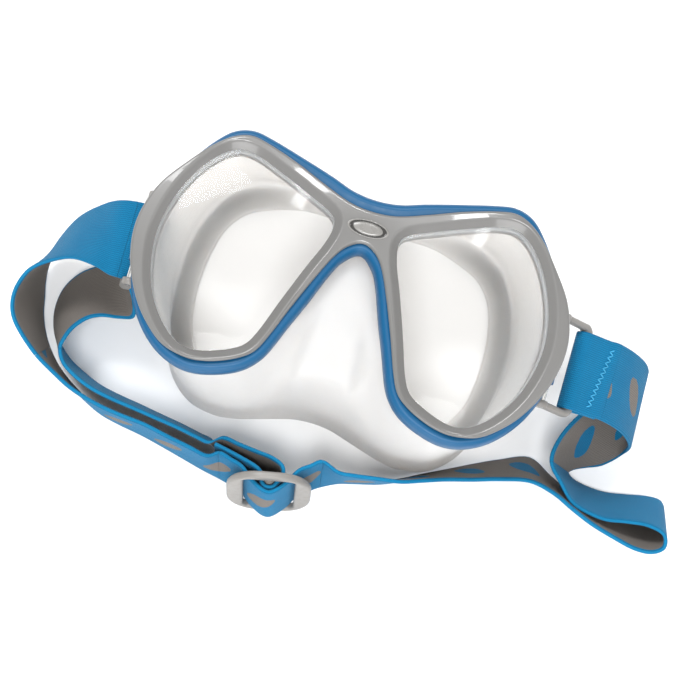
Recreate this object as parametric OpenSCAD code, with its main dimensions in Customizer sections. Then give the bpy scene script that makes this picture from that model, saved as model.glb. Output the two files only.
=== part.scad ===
// Two-lens diving mask lying on its face seal, lenses up, with its webbing strap laid round it.
// Millimetres. +Z is the way the lenses face and +Y is the forehead side. Left and right are as
// seen from the front, with the right at +X.
// The origin is on the resting surface, under the middle of the whole part.

/* [Frame] */
// Height of the top of the front bezel above the resting surface
front_z = 71; // [68:0.5:74]
// Thickness of the front bezel
bezel_t = 3; // [2:0.5:4]
// Depth of the rear frame
frame_t = 8; // [7:0.5:10]
// Thickness of each lens
lens_t = 4; // [3:0.5:4.5]
// How far the bezel laps over each lens
lens_lap = 2.4; // [1.5:0.1:2.8]

/* [Skirt] */
// Thickness of the silicone wall
wall_t = 2; // [1.5:0.1:2.4]

/* [Clips] */
// Diameter of the swivel pins
pin_d = 3; // [2.5:0.1:3.2]
// Radial running clearance of a pin in its lug
pin_gap = 0.05; // [0.03:0.01:0.1]
// Clear length inside a clip, for the strap
clip_in = 31.6; // [31.4:0.1:33]
// Distance from the swivel pin to the strap bar
clip_reach = 15; // [14:0.5:16]
// Diameter of the strap bar
bar_d = 4.5; // [4:0.1:4.6]

/* [Strap] */
// Width of the webbing
strap_w = 30.6; // [30:0.1:31]
// Thickness of the webbing
strap_t = 1.8; // [1.4:0.1:2]
// Length of the slider along the strap
slider_l = 33; // [32:0.5:36]

/* [Hidden] */

blue = [0.10, 0.42, 0.72];
webbing_blue = [0.10, 0.50, 0.76];
grey = [0.60, 0.60, 0.59];
clip_grey = [0.70, 0.69, 0.67];
silicone = [0.90, 0.89, 0.87];

frame_top = front_z - bezel_t;
frame_low = frame_top - frame_t;
lens_low = frame_top - lens_t;
part_shift = [-10.7, 20.4, 0]; // from the middle of the mask to the middle of the whole part

// ---- curves ----
function catmull(a, b, c, d, t) = 0.5 * (2 * b + (c - a) * t + (2 * a - 5 * b + 4 * c - d) * t * t
  + (3 * b - a - 3 * c + d) * t * t * t);
function closed_curve(p, n) = let (m = len(p))
  [for (i = [0 : m - 1]) for (k = [0 : n - 1])
    catmull(p[(i + m - 1) % m], p[i], p[(i + 1) % m], p[(i + 2) % m], k / n)];
function open_curve(p, n) = let (m = len(p))
  [for (i = [0 : m - 2]) for (k = [0 : n - 1])
    catmull(p[max(i - 1, 0)], p[i], p[i + 1], p[min(i + 2, m - 1)], k / n), p[m - 1]];
function unit(v) = v / max(norm(v), 1e-9);
// an outline from its right half, which runs from the top of the middle line to its bottom
function both_halves(p) = concat(p, [for (i = [len(p) - 2 : -1 : 1]) [-p[i][0], p[i][1]]]);
// an outline moved outwards (clockwise outlines, so outwards is to the left of travel)
function grown(p, d) = let (m = len(p)) [for (i = [0 : m - 1])
  let (t = unit(p[(i + 1) % m] - p[(i + m - 1) % m])) p[i] + d * [-t[1], t[0]]];

// ---- outlines of the front, right half, clockwise from the forehead ----
bezel_half = [[0, 29.5], [9, 30.5], [20, 34.4], [32, 39.2], [44, 43], [51.5, 44.2], [58, 41.8],
  [64.2, 36.6], [71.3, 28], [78.2, 18], [81.8, 8], [82.8, 0], [82, -8], [79.3, -17],
  [73.6, -27.5], [67, -35], [59.8, -40.2], [51, -42.2], [44, -41.6], [37.2, -39.4], [31.4, -36.4],
  [27, -32.6], [23.6, -25.7], [19.1, -13.7], [13.8, -0.7], [9.1, 9.4], [5, 14.6], [0, 16.9]];
frame_half = [[0, 35], [9, 36], [18, 39], [30, 42.5], [43, 46], [51, 47.3], [58, 45.2],
  [64, 39.5], [71, 29.5], [77.5, 18], [80.6, 7], [81.2, -3], [80.6, -12], [78.4, -21],
  [74.5, -29.5], [68.5, -37.3], [61.5, -42.8], [53.5, -45.9], [46, -46.2], [38, -44.2],
  [31, -41], [26, -36.7], [22.3, -31], [18, -20], [13.5, -9], [9, 3], [5.5, 9.5], [0, 13.6]];
lens_right = [[12.5, 20.5], [15, 24.9], [25, 29.5], [38, 34.8], [48, 38.2], [55, 38],
  [62, 32.8], [68, 24], [72.5, 13], [74.5, 2], [74, -8], [71, -19], [66, -28], [59, -35.3],
  [52, -38.5], [45, -37.8], [37, -34.8], [31.5, -31.3], [28, -25], [23.5, -12], [18, 3],
  [14, 13]];
bezel_outline = closed_curve(both_halves(bezel_half), 3);
frame_outline = closed_curve(both_halves(frame_half), 3);
window_outline = closed_curve(lens_right, 4);

module on_mask() { translate(part_shift) children(); }
module both_sides() { for (side = [0, 1]) mirror([side, 0, 0]) children(); }
module plate(outline, z0, z1) {
  translate([0, 0, z0]) linear_extrude(z1 - z0) polygon(outline);
}

// ---- front: frame, bezel, lenses, badge ----
module rear_frame() {
  color(blue) on_mask() difference() {
    plate(frame_outline, frame_low, frame_top);
    both_sides() plate(grown(window_outline, lens_lap + 0.15), frame_low - 1, frame_top + 1);
  }
}
module front_bezel() {
  color(grey) on_mask() difference() {
    plate(bezel_outline, frame_top, front_z);
    both_sides() plate(window_outline, frame_top - 1, front_z + 1);
    translate([0, badge_y, front_z - badge_sink]) badge_shape(badge_sink + 1, 0.1);
  }
}
badge_y = 22.6;
badge_sink = 0.8;
badge_l = 16;
badge_w = 6.6;
badge_t = 0.7;
module badge_shape(h, gap) {
  linear_extrude(h) polygon([for (a = [0 : 10 : 350])
    [(badge_l / 2 + gap) * cos(a), (badge_w / 2 + gap) * sin(a)]]);
}
module bridge_badge() {
  color(clip_grey) on_mask() translate([0, badge_y, front_z - badge_sink]) badge_shape(badge_t, 0);
}
module lens() { plate(grown(window_outline, lens_lap), lens_low, frame_top); }
module right_lens() { color([0.8, 0.9, 0.95, 0.3]) on_mask() lens(); }
module left_lens() { color([0.8, 0.9, 0.95, 0.3]) on_mask() mirror([1, 0, 0]) lens(); }

// ---- skirt: collars round the lenses, top plate, wall with nose pocket and inturned lip ----
// The wall runs through five rings; each row is one station round the right half, from the
// middle of the forehead to the middle of the upper lip.
wall_top_z = frame_low - 2;
rim_z = 1.156;
ring_top = [[0, 32], [12, 33.5], [28, 39], [44, 43], [56, 42], [66, 32.5], [74, 19], [77, 3],
  [76, -11], [71, -25], [62, -37], [50, -42], [39, -40.5], [30, -35.5], [23.5, -23],
  [17.5, -8], [11, 5.5], [0, 16.5]];
ring_high = [[0, 33.5, 48], [12, 35.5, 48], [28, 40, 48], [44, 43, 47], [57, 41, 46],
  [67, 31, 45], [74, 18, 44], [76.5, 3, 44], [75, -11, 44], [70, -25, 44], [61, -38, 45],
  [50, -45, 47], [38, -45, 48], [27, -41, 49], [19, -32, 53], [13, -21, 57], [7.5, -8, 60],
  [0, -1, 61.5]];
ring_low = [[0, 38, 28], [13, 39.5, 27], [29, 43, 25], [45, 43.5, 22], [58, 38.5, 19],
  [67, 26, 17], [71.5, 12, 16], [72.5, -2, 16], [70.5, -15, 16], [66, -29, 17], [59, -42, 19],
  [49, -50.5, 21], [38, -52.5, 24], [28, -50.5, 28], [19.5, -45, 36], [12.5, -38.5, 44],
  [6, -33, 49], [0, -31, 51]];
ring_rim = [[0, 42.5, 11], [14, 43.5, 9], [30, 45.5, 6], [45, 44.5, 3], [58, 37, rim_z],
  [66, 24, rim_z], [69.5, 10, rim_z], [70, -4, rim_z], [69, -17, rim_z],
  [65.5, -31, rim_z], [58.5, -44, rim_z], [49.5, -51.5, rim_z], [39, -54, rim_z],
  [31, -53.5, 2], [22.5, -51.5, 3.6], [14.5, -49.3, 6], [7, -47.5, 8], [0, -47, 9]];
ring_lip = [[0, 35, 9], [13, 35.6, 8], [27, 36, 6], [40, 33, 3.5], [49.5, 28.5, 2.5],
  [56, 20, 2.4], [59, 9, 2.4], [60, -3, 2.4], [59.3, -14, 2.4], [57, -24, 2.4],
  [51, -34, 2.6], [44, -40.5, 2.8], [36.5, -43, 3], [29.5, -42.7, 4], [22, -41, 6],
  [14.5, -39.3, 8], [7, -38, 10], [0, -37.5, 11]];
function full_ring(r) = closed_curve(concat(r,
  [for (i = [len(r) - 2 : -1 : 1]) [-r[i][0], r[i][1], r[i][2]]]), 2);
plate_outline = closed_curve(both_halves(ring_top), 2);
wall_inset = 0.5;
skirt_rings = [[for (p = grown(plate_outline, -wall_inset)) [p[0], p[1], wall_top_z + 1]],
  full_ring(ring_high), full_ring(ring_low), full_ring(ring_rim), full_ring(ring_lip)];
ring_n = len(skirt_rings[0]);
wall_steps = 3;
skirt_columns = [for (j = [0 : ring_n - 1])
  open_curve([for (r = skirt_rings) r[j]], wall_steps)];
column_n = len(skirt_columns[0]);
function wall_point(j, i) = skirt_columns[(j + ring_n) % ring_n][i];
// inwards normal of the wall at column j, row i
function wall_normal(j, i) = let (
    along = wall_point(j + 1, i) - wall_point(j - 1, i),
    down = wall_point(j, min(i + 1, column_n - 1)) - wall_point(j, max(i - 1, 0)))
  unit(cross(down, along));
module skirt_wall() {
  outer = [for (i = [0 : column_n - 1]) for (j = [0 : ring_n - 1]) wall_point(j, i)];
  inner = [for (i = [0 : column_n - 1]) for (j = [0 : ring_n - 1])
    wall_point(j, i) + wall_t * wall_normal(j, i)];
  half = column_n * ring_n;
  function at(i, j) = i * ring_n + (j % ring_n);
  polyhedron(concat(outer, inner), concat(
    [for (i = [0 : column_n - 2]) for (j = [0 : ring_n - 1]) for (f = [
      [at(i, j), at(i + 1, j + 1), at(i, j + 1)], [at(i, j), at(i + 1, j), at(i + 1, j + 1)],
      [half + at(i, j), half + at(i, j + 1), half + at(i + 1, j + 1)],
      [half + at(i, j), half + at(i + 1, j + 1), half + at(i + 1, j)]]) f],
    [for (j = [0 : ring_n - 1]) for (f = let (e = column_n - 1) [
      [at(0, j), at(0, j + 1), half + at(0, j + 1)], [at(0, j), half + at(0, j + 1), half + at(0, j)],
      [at(e, j), half + at(e, j + 1), at(e, j + 1)], [at(e, j), half + at(e, j), half + at(e, j + 1)]]) f]));
}
module skirt() {
  color(silicone) on_mask() union() {
    skirt_wall();
    difference() {
      plate(plate_outline, wall_top_z, frame_low);
      both_sides() plate(grown(window_outline, -0.4), wall_top_z - 1, frame_low + 1);
    }
    both_sides() difference() {
      plate(grown(window_outline, lens_lap), frame_low - 0.5, lens_low);
      plate(grown(window_outline, -0.4), frame_low - 1, lens_low + 1);
    }
  }
}

// ---- swivel lugs, pins and clips ----
clip_y = -2.5;
pin_x = 80.3;
pin_z = frame_low - 4;
lug_half = 9;
arm_t = 2.7;
eye_d = 5.6;
arm_out = clip_in / 2 + arm_t;
right_droop = 40;
left_droop = 78;
module along_y(d, half) {
  rotate([90, 0, 0]) cylinder(d = d, h = 2 * half, center = true, $fn = 48);
}
module at_pin(side) {
  on_mask() mirror([side < 0 ? 1 : 0, 0, 0]) translate([pin_x, clip_y, pin_z]) children();
}
// lug of the right side, with its barrel on the pin axis
module lug_shape() {
  difference() {
    union() {
      along_y(eye_d, lug_half);
      translate([-eye_d / 2, -lug_half, 0]) cube([eye_d - 2, 2 * lug_half, frame_low - pin_z]);
    }
    along_y(pin_d + 2 * pin_gap, lug_half + 1);
  }
}
module right_lug() { color(blue) at_pin(1) lug_shape(); }
module left_lug() { color(blue) at_pin(-1) lug_shape(); }
module right_pin() { color("silver") at_pin(1) along_y(pin_d, arm_out); }
module left_pin() { color("silver") at_pin(-1) along_y(pin_d, arm_out); }
// clip hanging from the pin: two eyes, two arms and the strap bar
module clip_shape(droop) {
  rotate([0, droop, 0]) difference() {
    union() {
      for (s = [-1, 1]) translate([0, s * (clip_in / 2 + arm_t / 2), 0]) {
        along_y(eye_d, arm_t / 2);
        translate([0, -arm_t / 2, -bar_d / 2]) cube([clip_reach, arm_t, bar_d]);
      }
      translate([clip_reach, 0, 0]) along_y(bar_d, arm_out);
    }
    along_y(pin_d, arm_out + 1);
  }
}
module right_clip() { color(clip_grey) at_pin(1) clip_shape(right_droop); }
module left_clip() { color(clip_grey) at_pin(-1) clip_shape(left_droop); }

// ---- strap ----
// Each row is one cross-section of the webbing: the edge nearer the surface, then the other
// edge. Rows are relative to the middle of the mask.
function row_mid(r) = ([r[0], r[1], r[2]] + [r[3], r[4], r[5]]) / 2;
function row_across(r) = unit([r[3], r[4], r[5]] - [r[0], r[1], r[2]]);
function ribbon_ring(rows, i) = let (n = len(rows),
    along = row_mid(rows[min(i + 1, n - 1)]) - row_mid(rows[max(i - 1, 0)]),
    across = row_across(rows[i]), out = unit(cross(along, across)), c = row_mid(rows[i]),
    w = across * strap_w / 2, t = out * strap_t / 2)
  [c - w - t, c + w - t, c + w + t, c - w + t];
module ribbon(rows) {
  n = len(rows);
  polyhedron([for (i = [0 : n - 1]) for (p = ribbon_ring(rows, i)) p], concat(
    [[0, 1, 2], [0, 2, 3], [4 * n - 4, 4 * n - 2, 4 * n - 3], [4 * n - 4, 4 * n - 1, 4 * n - 2]],
    [for (i = [0 : n - 2]) for (k = [0 : 3]) for (f = [
      [4 * i + k, 4 * i + 4 + (k + 1) % 4, 4 * i + (k + 1) % 4],
      [4 * i + k, 4 * i + 4 + k, 4 * i + 4 + (k + 1) % 4]]) f]));
}
// rows i0 to i1 of a run, smoothed through the whole run, ends drawn back by a hair
sub_n = 3;
function stretch(run, i0, i1) = let (s = open_curve(run, sub_n))
  [for (i = [i0 * sub_n : i1 * sub_n]) s[i]];
end_gap = 0.35;
function eased(rows) = let (n = len(rows), a = unit(row_mid(rows[1]) - row_mid(rows[0])) * end_gap,
    b = unit(row_mid(rows[n - 2]) - row_mid(rows[n - 1])) * end_gap)
  [for (i = [0 : n - 1]) rows[i] + (i == 0 ? concat3(a) : i == n - 1 ? concat3(b) : [0, 0, 0, 0, 0, 0])];
function concat3(v) = [v[0], v[1], v[2], v[0], v[1], v[2]];
module strap_piece(run, i0, i1) {
  color(webbing_blue) on_mask() ribbon(eased(stretch(run, i0, i1)));
}

// from the seam at the right clip, round the curl and the hairpin, to the slider
right_run = [[105.4, -17.5, 43.2, 106, 13.2, 43.2], [113, -18, 36.5, 113.5, 12.8, 36],
  [120, -19, 26.5, 120, 11.5, 27],
  [124.5, -20, 15, 122.5, 8, 20], [123.5, -23, 6, 119, 3, 16], [118, -28, 2.4, 109, -6, 17],
  [112, -31.5, 1.6, 99.5, -17.5, 24], [107.5, -34, 1.3, 94.5, -27.5, 28],
  [105.6, -36.2, 1.2, 93.8, -36.5, 29.5], [108.4, -38.4, 1.2, 99.8, -43.6, 29.8],
  [114.5, -39.6, 1.1, 107, -50, 28.7], [122, -39.8, 1.1, 119, -52.3, 28.7],
  [131, -38.2, 1.1, 128.5, -50.8, 28.7], [138.5, -36.6, 1.1, 136.8, -49.8, 28.4],
  [144.6, -36.6, 1.1, 144, -51.3, 27.4], [146.8, -40.6, 1.1, 145.5, -56.3, 27],
  [143.5, -45, 1.1, 141, -59.6, 28], [137, -46.3, 1.1, 134, -60, 28.3], [128, -45.8, 1.1, 125.6, -58.3, 29],
  [118, -45, 1.1, 115.6, -55.6, 29.6], [108.5, -43.6, 1.1, 106.6, -52, 29.9],
  [99, -39.8, 1.1, 98, -48.2, 29.9], [89, -35, 1.1, 88, -46.4, 29.2], [77.5, -39.4, 1.1, 76, -49.2, 29.8],
  [67.5, -44.3, 1.1, 66.5, -52.2, 30.3], [57.5, -49.6, 1.1, 56, -55.2, 30.8],
  [49, -54, 1.1, 48, -58, 31], [41, -58.3, 1.1, 40, -60.8, 31.3], [33, -61.8, 1.1, 32.4, -62, 31.4],
  [22.7, -64.6, 1.1, 22, -63.6, 31.4], [17, -66.4, 2, 15.6, -64.2, 32.2]];
slider_turn = 12;
slider_lean = 16;
slider_mid = [-8.3, -78.4, 20.6];
slider_w = 41;
slider_t = 3;
slider_end = 6.5;
slot_w = slider_l - 2 * slider_end;
// a cross-section of the webbing in the slider's own directions, along it and out of its front
slide_dir = [cos(slider_turn), sin(slider_turn), 0];
lean_dir = [-sin(slider_turn) * sin(slider_lean), cos(slider_turn) * sin(slider_lean), cos(slider_lean)];
face_dir = cross(slide_dir, lean_dir);
function slider_row(u, n) = let (c = slider_mid + u * slide_dir + n * face_dir,
    h = lean_dir * strap_w / 2) concat(c - h, c + h);
bar_r = 2;
over_n = bar_r + 0.1 + strap_t + 0.3 + strap_t / 2;
weave_run = [for (p = [[-20, -9.2], [-15.5, -7], [-11, -4.4], [-6.2, 1.2], [0, over_n],
  [6.2, 1.2], [11, -4.4], [15.5, -6.8], [20, -8.8]]) slider_row(p[0], p[1])];
front_run = concat([for (i = [20 : len(right_run) - 1]) right_run[i]], [weave_run[8]]);
// outer layer: from the slider up to the top of the left clip
outer_run = [weave_run[0], [-36, -76.5, 1.1, -35, -72.3, 31.2], [-44, -74.6, 1.1, -42.5, -71, 31.3],
  [-54, -72.2, 1.1, -52, -69.4, 31.4], [-64, -70, 1.1, -61.5, -67.6, 31.4],
  [-74, -68.4, 1.1, -71, -66.8, 31.4], [-82, -66.6, 1.1, -79, -65.8, 31.4],
  [-89, -63.6, 1.1, -86, -64.3, 31.4], [-97, -59.2, 1.1, -93.5, -62, 31.3],
  [-104.5, -53.8, 1.1, -101, -58.4, 31.1], [-110.5, -47.3, 1.1, -109.5, -53.8, 31],
  [-114.5, -41, 1.1, -117.5, -47.6, 30.6], [-117.2, -34.5, 1.1, -122.8, -42, 30],
  [-118.8, -28, 1.1, -125.2, -36, 29.8], [-120.4, -21.5, 1.2, -125, -29.8, 30.6],
  [-120.8, -14.5, 3, -121.8, -23, 33], [-118.8, -6, 8, -115, -18.2, 36.3],
  [-112, 4, 19, -105.5, -15, 41.5], [-102.5, 9.8, 32, -95.5, -16.5, 46.5],
  [-94.5, 12, 42, -89.5, -18, 46.5], [-87.5, 12.7, 44.8, -86.5, -17.8, 45.6]];
// inner layer: from the bottom of the left clip back to the slider
inner_run = [[-86, 12.2, 35, -82.8, -18, 36.4], [-88, 5.5, 30, -79.2, -23.5, 33.5],
  [-92.5, -4.5, 18.5, -78.4, -28.6, 28.4], [-99.3, -9.8, 10, -83.5, -30.4, 25.8],
  [-106.7, -14.6, 5, -90.5, -31.6, 25], [-111.6, -21, 2, -95.4, -34.4, 25.6],
  [-113, -28, 1, -99.2, -39.4, 27.4], [-111.8, -35.5, 1.1, -101, -44.2, 29.2],
  [-108.2, -43, 1.1, -101.5, -48.6, 30.2], [-102, -49, 1.1, -98.6, -53.6, 30.9],
  [-95, -52.8, 1.1, -92.6, -57.4, 31], [-86.5, -56.2, 1.1, -85, -60.2, 31.1],
  [-77.6, -58, 1.1, -76.6, -61.8, 31.1], [-69, -59.2, 1.1, -68, -62.8, 31.1],
  [-60, -60.6, 1.1, -58.5, -64, 31.1], [-50.5, -62, 1.1, -49, -65.2, 31.2],
  [-42, -63.6, 1.1, -40.8, -66.6, 31.3], [-36, -65, 1.2, -35.6, -67.2, 31.5]];
// the end of the inner layer: round the slider's middle bar and back, sewn to itself
loop_r = bar_r + 0.15 + strap_t / 2;
loop_run = concat([for (p = [[-19, -15.5], [-13, -13.4], [-6, -11], [0, -9], [4.4, -6], [5, -2.2]])
    slider_row(p[0], p[1])],
  [for (a = [20 : 32 : 180]) slider_row(loop_r * cos(a), loop_r * sin(a))],
  [for (p = [[-3.5, -2.6], [-5.8, -4.9], [-10.5, -7.4], [-15.5, -9.8], [-22, -12.7]])
    slider_row(p[0], p[1])]);

module strap_right_curl() { strap_piece(right_run, 0, 8); }
module strap_right_loop() { strap_piece(right_run, 8, 20); }
module strap_front_run() { strap_piece(front_run, 0, len(front_run) - 1); }
module strap_slider_weave() { strap_piece(weave_run, 0, 8); }
module strap_outer_run() { strap_piece(outer_run, 0, 10); }
module strap_outer_side() { strap_piece(outer_run, 10, len(outer_run) - 1); }
module strap_inner_side() { strap_piece(inner_run, 0, 8); }
module strap_inner_run() { strap_piece(concat(inner_run, [loop_run[0]]), 8, 18); }
module strap_end_loop() { strap_piece(loop_run, 0, len(loop_run) - 1); }

// webbing wrapped round the strap bar of a clip: a sleeve open on the side it leaves by
wrap_r = bar_d / 2 + 0.1;
module wrap(leg_up, leg_low, up_at, low_at) {
  rotate([90, 0, 0]) linear_extrude(strap_w, center = true) union() {
    difference() {
      circle(r = wrap_r + strap_t, $fn = 48);
      circle(r = wrap_r, $fn = 48);
      polygon([[0, 0], 12 * [cos(up_at + 90), sin(up_at + 90)], 
        17 * [cos((up_at + low_at) / 2), sin((up_at + low_at) / 2)],
        12 * [cos(low_at - 90), sin(low_at - 90)]]);
    }
    rotate(up_at) translate([0, wrap_r]) square([leg_up, strap_t]);
    rotate(low_at) translate([0, -wrap_r - strap_t]) square([leg_low, strap_t]);
  }
}
module at_bar(side, droop) {
  at_pin(side) rotate([0, droop, 0]) translate([clip_reach, 0, 0]) rotate([0, -droop, 0]) children();
}
module strap_right_end() {
  color(webbing_blue) at_bar(1, right_droop) wrap(13, 11, -25, -19);
}
module strap_left_end() {
  color(webbing_blue) at_bar(-1, left_droop) wrap(2.5, 2, 0, -40);
}
// zigzag row of stitches across the webbing
module zigzag(n, pitch, wide) {
  for (i = [0 : n - 1]) translate([0, (i - (n - 1) / 2) * pitch, 0])
    rotate([0, 0, i % 2 == 0 ? 50 : -50]) cube([wide, 0.6, 0.5], center = true);
}
module right_end_seam() {
  color([0.3, 0.65, 0.85]) at_bar(1, right_droop) rotate([0, 25, 0])
    translate([10.5, 0, wrap_r + strap_t + 0.3]) zigzag(14, 2.05, 3);
}
module end_loop_seam() {
  color([0.3, 0.65, 0.85]) on_mask() for (i = [-6 : 6])
    translate(slider_mid - 18.4 * slide_dir - 10 * face_dir + i * 2.1 * lean_dir)
      cube([0.5, 0.5, 1.2], center = true);
}

// ---- slider ----
module in_slider() {
  on_mask() translate(slider_mid) rotate([0, 0, slider_turn]) rotate([-slider_lean, 0, 0]) children();
}
module rounded_plate(l, w, r, t) {
  rotate([90, 0, 0]) linear_extrude(t, center = true) union() {
    square([l - 2 * r, w], center = true);
    square([l, w - 2 * r], center = true);
    for (x = [-1, 1]) for (y = [-1, 1]) translate([x * (l / 2 - r), y * (w / 2 - r)]) circle(r = r, $fn = 48);
  }
}
slot_h = strap_w + 1.6;
module slider_frame() {
  color(clip_grey) in_slider() difference() {
    rounded_plate(slider_l, slider_w, 9, slider_t);
    rotate([90, 0, 0]) linear_extrude(slider_t + 2, center = true) square([slot_w, slot_h], center = true);
    cylinder(r = bar_r - 0.6, h = slot_h + 5, center = true, $fn = 32);
  }
}
module slider_bar() {
  color(clip_grey) in_slider() union() {
    cylinder(r = bar_r, h = slot_h - 0.1, center = true, $fn = 32);
    cylinder(r = bar_r - 0.6, h = slot_h + 5, center = true, $fn = 32);
  }
}

rear_frame();
front_bezel();
bridge_badge();
left_lens();
right_lens();
skirt();
left_lug();
right_lug();
left_pin();
right_pin();
left_clip();
right_clip();
strap_right_end();
right_end_seam();
strap_right_curl();
strap_right_loop();
strap_front_run();
strap_slider_weave();
strap_outer_run();
strap_outer_side();
strap_left_end();
strap_inner_side();
strap_inner_run();
strap_end_loop();
end_loop_seam();
slider_frame();
slider_bar();
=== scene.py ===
"""Looks of the two-lens diving mask: moulded frame, glass, silicone skirt, clips and webbing strap."""
import math

import bmesh
import bpy
import numpy as np
from mathutils import Matrix, Vector
from mathutils.geometry import delaunay_2d_cdt


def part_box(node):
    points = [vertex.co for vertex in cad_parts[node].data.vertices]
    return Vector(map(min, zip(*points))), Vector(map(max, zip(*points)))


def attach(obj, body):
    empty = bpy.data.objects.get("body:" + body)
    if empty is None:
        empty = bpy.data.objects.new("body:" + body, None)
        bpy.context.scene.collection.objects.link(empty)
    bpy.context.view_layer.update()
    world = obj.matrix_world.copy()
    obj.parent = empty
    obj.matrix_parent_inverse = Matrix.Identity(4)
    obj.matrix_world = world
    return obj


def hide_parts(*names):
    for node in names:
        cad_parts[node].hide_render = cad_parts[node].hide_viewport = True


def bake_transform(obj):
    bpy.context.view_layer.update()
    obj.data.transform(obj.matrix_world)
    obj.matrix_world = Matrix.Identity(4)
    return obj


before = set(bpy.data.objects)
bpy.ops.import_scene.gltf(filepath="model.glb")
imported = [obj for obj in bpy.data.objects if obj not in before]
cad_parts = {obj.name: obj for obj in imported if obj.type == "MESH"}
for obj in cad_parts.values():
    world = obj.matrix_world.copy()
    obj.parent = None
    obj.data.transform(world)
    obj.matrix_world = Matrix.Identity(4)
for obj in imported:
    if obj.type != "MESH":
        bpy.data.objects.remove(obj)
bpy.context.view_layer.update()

MM = 0.001
CLIP_Y = -2.5  # of the clips' pins, from the middle of the mask
pin_low, pin_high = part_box("right_pin")
left_low, left_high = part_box("left_pin")
PIN = (pin_low + pin_high) / 2
LEFT_PIN = (left_low + left_high) / 2
MASK_MID = np.array([(PIN.x + LEFT_PIN.x) / 2, PIN.y - CLIP_Y * MM, 0.0])


# ---------------------------------------------------------------- curves and meshes
def catmull(a, b, c, d, t):
    return 0.5 * (2 * b + (c - a) * t + (2 * a - 5 * b + 4 * c - d) * t * t
                  + (3 * b - a - 3 * c + d) * t ** 3)


def closed_curve(points, n):
    p = np.array(points, float)
    m = len(p)
    return np.array([catmull(p[i - 1], p[i], p[(i + 1) % m], p[(i + 2) % m], k / n)
                     for i in range(m) for k in range(n)])


def open_curve(points, n):
    p = np.array(points, float)
    m = len(p)
    out = [catmull(p[max(i - 1, 0)], p[i], p[i + 1], p[min(i + 2, m - 1)], k / n)
           for i in range(m - 1) for k in range(n)]
    return np.array(out + [p[-1]])


def both_halves(half):
    """A closed outline from its right half, which runs from the top middle to the bottom middle."""
    half = [list(p) for p in half]
    return half + [[-p[0]] + p[1:] for p in half[-2:0:-1]]


def mirrored(outline):
    return outline[::-1] * np.array([-1.0, 1.0])


def grown(outline, d):
    """A clockwise outline moved outwards by d."""
    t = np.roll(outline, -1, axis=0) - np.roll(outline, 1, axis=0)
    t /= np.linalg.norm(t, axis=1)[:, None]
    return outline + d * np.stack([-t[:, 1], t[:, 0]], axis=1)


def unit(v):
    return v / np.maximum(np.linalg.norm(v, axis=-1, keepdims=True), 1e-12)


def inside(points, outline):
    """Which points lie inside a closed outline."""
    x, y = points[:, 0][:, None], points[:, 1][:, None]
    a, b = outline, np.roll(outline, -1, axis=0)
    crosses = (a[:, 1] > y) != (b[:, 1] > y)
    rise = np.where(b[:, 1] == a[:, 1], 1e-12, b[:, 1] - a[:, 1])
    at = a[:, 0] + (y - a[:, 1]) * (b[:, 0] - a[:, 0]) / rise
    return (np.sum(crosses & (x < at), axis=1) % 2) == 1


def distance(points, outline):
    """How far each point is from a closed outline."""
    a, b = outline, np.roll(outline, -1, axis=0)
    ab = b - a
    ap = points[:, None, :] - a[None]
    t = np.clip(np.sum(ap * ab, axis=2) / np.maximum(np.sum(ab * ab, axis=1), 1e-12), 0, 1)
    return np.sqrt(np.min(np.sum((ap - t[..., None] * ab) ** 2, axis=2), axis=1))


class Build:
    """Gathers vertices, faces and point attributes of one piece, in millimetres from the mask's middle."""

    def __init__(self):
        self.v, self.f, self.extra = [], [], {}

    def add(self, points):
        """Adds points, and gives the index of the first."""
        start = len(self.v)
        self.v.extend(np.asarray(points, float).tolist())
        return start

    def loft(self, rings, closed=True, cap=False, wrap=False):
        """Quads between successive rings that have the same number of points."""
        n = len(rings[0])
        starts = [self.add(r) for r in rings]
        pairs = list(zip(starts, starts[1:])) + ([(starts[-1], starts[0])] if wrap else [])
        for a, b in pairs:
            for i in range(n if closed else n - 1):
                j = (i + 1) % n
                self.f.append((a + i, a + j, b + j, b + i))
        if cap:
            self.f.append(tuple(range(starts[0] + n - 1, starts[0] - 1, -1)))
            self.f.append(tuple(range(starts[-1], starts[-1] + n)))
        return starts

    def fill(self, loops, keep, inner, height):
        """Triangles between closed loops of vertices already added; inner are extra points."""
        flat, index, edges = [], [], []
        for start, n in loops:
            base = len(flat)
            for i in range(n):
                flat.append(Vector(self.v[start + i][:2]))
                index.append(start + i)
                edges.append((base + i, base + (i + 1) % n))
        if len(inner):
            start = self.add(np.column_stack([inner, height(inner)]))
            for i, p in enumerate(inner):
                flat.append(Vector(p))
                index.append(start + i)
        points, _, tris, origin, _, _ = delaunay_2d_cdt(flat, edges, [], 0, 1e-7)
        xy = np.array([list(p) for p in points])
        middle = np.array([xy[list(t)].mean(axis=0) for t in tris])
        good = keep(middle)
        for t, g in zip(tris, good):
            if g and all(origin[k] for k in t):
                self.f.append(tuple(index[origin[k][0]] for k in t))

    def done(self, name, material, body, angle=40):
        """Makes the piece, which rides on body unless that is None."""
        data = bpy.data.meshes.new(name)
        data.from_pydata((np.array(self.v) * MM + MASK_MID).tolist(), [], self.f)
        data.update()
        obj = bpy.data.objects.new(name, data)
        bpy.context.collection.objects.link(obj)
        for key, values in self.extra.items():
            attribute = data.attributes.new(key, "FLOAT", "POINT")
            attribute.data.foreach_set("value", np.asarray(values, np.float32))
        data.materials.append(material)
        tidy(obj, angle)
        if body:
            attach(obj, body)
        return obj


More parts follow.
